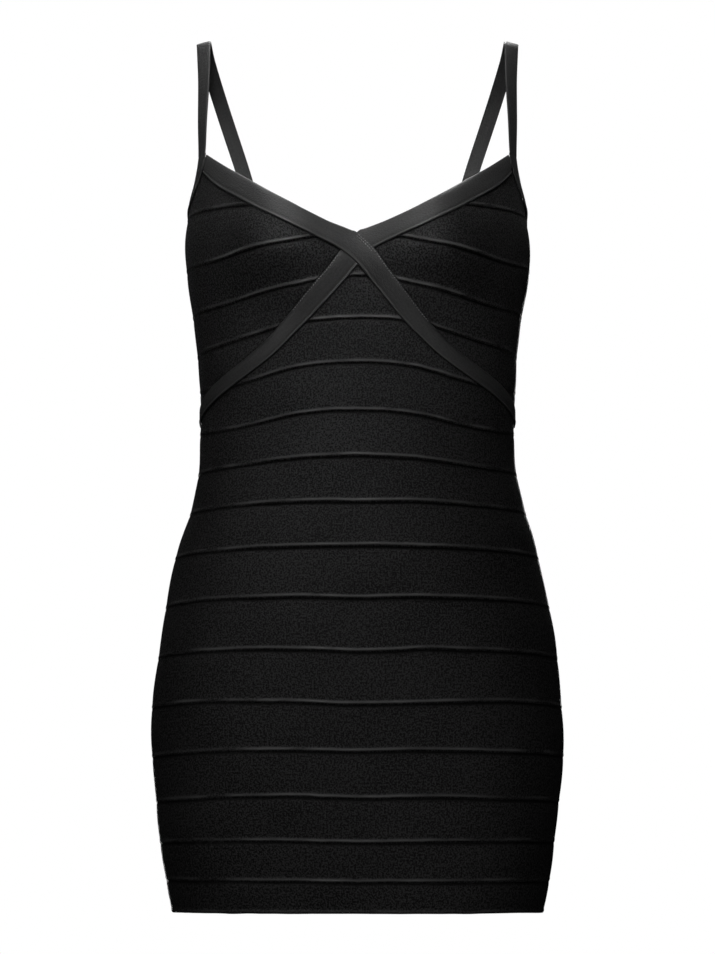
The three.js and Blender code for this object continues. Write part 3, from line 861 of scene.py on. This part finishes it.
def materials():
    knit = cloth_material(
        "black_knit",
        dark=(0, 0, 0),
        light=(0.02, 0.0197, 0.02),
        # painted highlight on the welts' rolled crests
        edge=(0.065, 0.065, 0.065),
        grain=(((720, 680), 1, 4), ((420, 260), 1, 1.2), ((14, 20), 2, 0.6)),
        knit=(0.9 * MM, 0.7 * MM, 0.07 * MM),
        rough=(0.34, 0.6),
        rolled_rough=0.36,
        sheen=0.02,
        gloss=0.13,
    )
    band = cloth_material(
        "black_band",
        dark=(0.006, 0.006, 0.006),
        light=(0.024, 0.024, 0.024),
        # painted highlight on the band's lower lip
        edge=(0.045, 0.045, 0.045),
        grain=(((560, 700), 2, 1.1), ((40, 600), 1, 0.5), ((16, 30), 2, 0.5)),
        knit=(0.8 * MM, 1.1 * MM, 0.06 * MM),
        rough=(0.45, 0.6),
        rolled_rough=0.36,
        sheen=0.03,
        gloss=0.33,
    )
    # The thread's pale grey is a painted glint on the stitches
    thread = cloth_material(
        "thread_painted_glint",
        dark=(0.04, 0.04, 0.04),
        light=(0.2, 0.2, 0.2),
        edge=(0.16, 0.16, 0.16),
        grain=(((900, 900), 1, 1.5), ((120, 140), 1, 0.6), ((30, 20), 1, 0.5)),
        knit=(0.4 * MM, 0.4 * MM, 0.05 * MM),
        rough=(0.35, 0.5),
        rolled_rough=0.35,
        sheen=0.05,
        gloss=0.4,
    )
    return knit, band, thread


# Studio

CAMERA_PLACE = (0, -1.8, -0.695)
CAMERA_RISE = 9.484  # degrees above level
CAMERA_LENS = 79.95
# Name, place, target, width and height, power, and spread in degrees
LIGHTS = (
    ("high", (-0.1, -0.25, 1), (0, 0, -0.3), (0.6, 0.3), 7, 180),
    ("bust", (-0.1, -1.5, 0.5), (0, 0, -0.08), (0.2, 0.15), 0.42, 24),
    ("top_left", (-1.2, -0.5, 1.1), (0, 0, -0.4), (0.5, 0.5), 2.5, 180),
    ("close", (-0.15, -0.7, 0.15), (0, 0, -0.35), (0.25, 0.2), 0.85, 180),
    ("front", (-0.1, -1.6, 0), (0, 0, -0.35), (0.4, 0.3), 2, 180),
    ("left", (-1, -1.7, -0.1), (0, 0, -0.4), (0.4, 0.8), 4.2, 180),
    ("strip_left", (-1.4, -1.2, -0.3), (0, 0, -0.4), (0.25, 1.2), 1.8, 180),
    ("right_low", (0.9, -1.8, -0.9), (0, 0, -0.5), (0.4, 0.6), 5.4, 180),
    ("back_top", (0.1, 1, 1.3), (0, 0, -0.4), (0.8, 0.4), 22, 180),
    ("back_left", (0.45, 1.9, -0.1), (0, 0, -0.4), (0.4, 0.8), 6, 180),
    ("back_right", (-0.5, 1.9, -0.9), (0, 0, -0.5), (0.4, 0.6), 5, 180),
)
FLOOR_HEIGHT = -1.45
FLOOR_SIZE = 14
FLOOR_COLOUR = (0.86, 0.86, 0.85, 1)
FLOOR_ROUGHNESS = 0.8
FLOOR_GLOW = (1, 1, 0.99, 1)
FLOOR_GLOW_STRENGTH = 0.9


def camera():
    data = bpy.data.cameras.new("camera")
    data.lens = CAMERA_LENS
    made = bpy.data.objects.new("camera", data)
    made.location = CAMERA_PLACE
    made.rotation_euler = (math.radians(90 + CAMERA_RISE), 0, 0)
    bpy.context.scene.collection.objects.link(made)
    bpy.context.scene.camera = made


def area_light(name, place, target, size, power, spread):
    data = bpy.data.lights.new(name, "AREA")
    data.shape = "RECTANGLE"
    data.size, data.size_y = size
    data.energy = power
    data.spread = math.radians(spread)
    made = bpy.data.objects.new(name, data)
    made.location = place
    direction = np.array(target, float) - place
    away = math.hypot(direction[0], direction[1])
    made.rotation_euler = (
        math.pi / 2 + math.atan2(direction[2], away),
        0,
        math.atan2(direction[1], direction[0]) - math.pi / 2,
    )
    bpy.context.scene.collection.objects.link(made)


def backdrop():
    """White where the camera looks past the floor, and no light on the cloth."""
    world = bpy.data.worlds.new("studio")
    world.use_nodes = True
    tree = world.node_tree
    background = tree.nodes["Background"]
    background.inputs["Color"].default_value = (1, 1, 1, 1)
    seen = add(tree, "ShaderNodeLightPath").outputs["Is Camera Ray"]
    tree.links.new(seen, background.inputs["Strength"])
    bpy.context.scene.world = world


def floor():
    half = FLOOR_SIZE / 2
    sides = ((-half, -half), (half, -half), (half, half), (-half, half))
    corners = [(x, y, FLOOR_HEIGHT) for x, y in sides]
    mesh = bpy.data.meshes.new("floor")
    mesh.from_pydata(corners, [], [(0, 1, 2, 3)])
    pale = bpy.data.materials.new("pale_floor")
    pale.use_nodes = True
    shader = pale.node_tree.nodes["Principled BSDF"]
    shader.inputs["Base Color"].default_value = FLOOR_COLOUR
    shader.inputs["Roughness"].default_value = FLOOR_ROUGHNESS
    shader.inputs["Emission Color"].default_value = FLOOR_GLOW
    shader.inputs["Emission Strength"].default_value = FLOOR_GLOW_STRENGTH
    mesh.materials.append(pale)
    made = bpy.data.objects.new("floor", mesh)
    made.visible_diffuse = False
    made.visible_glossy = False
    bpy.context.scene.collection.objects.link(made)


def studio():
    for light in LIGHTS:
        area_light(*light)
    backdrop()
    floor()
    bpy.context.scene.view_settings.view_transform = "Standard"


knit, band, thread = materials()
for name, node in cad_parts.items():
    node.data.materials.clear()
    node.data.materials.append(knit if "strip" in name else band)
strips(knit)
bands(band)
stitches(thread)
camera()
studio()
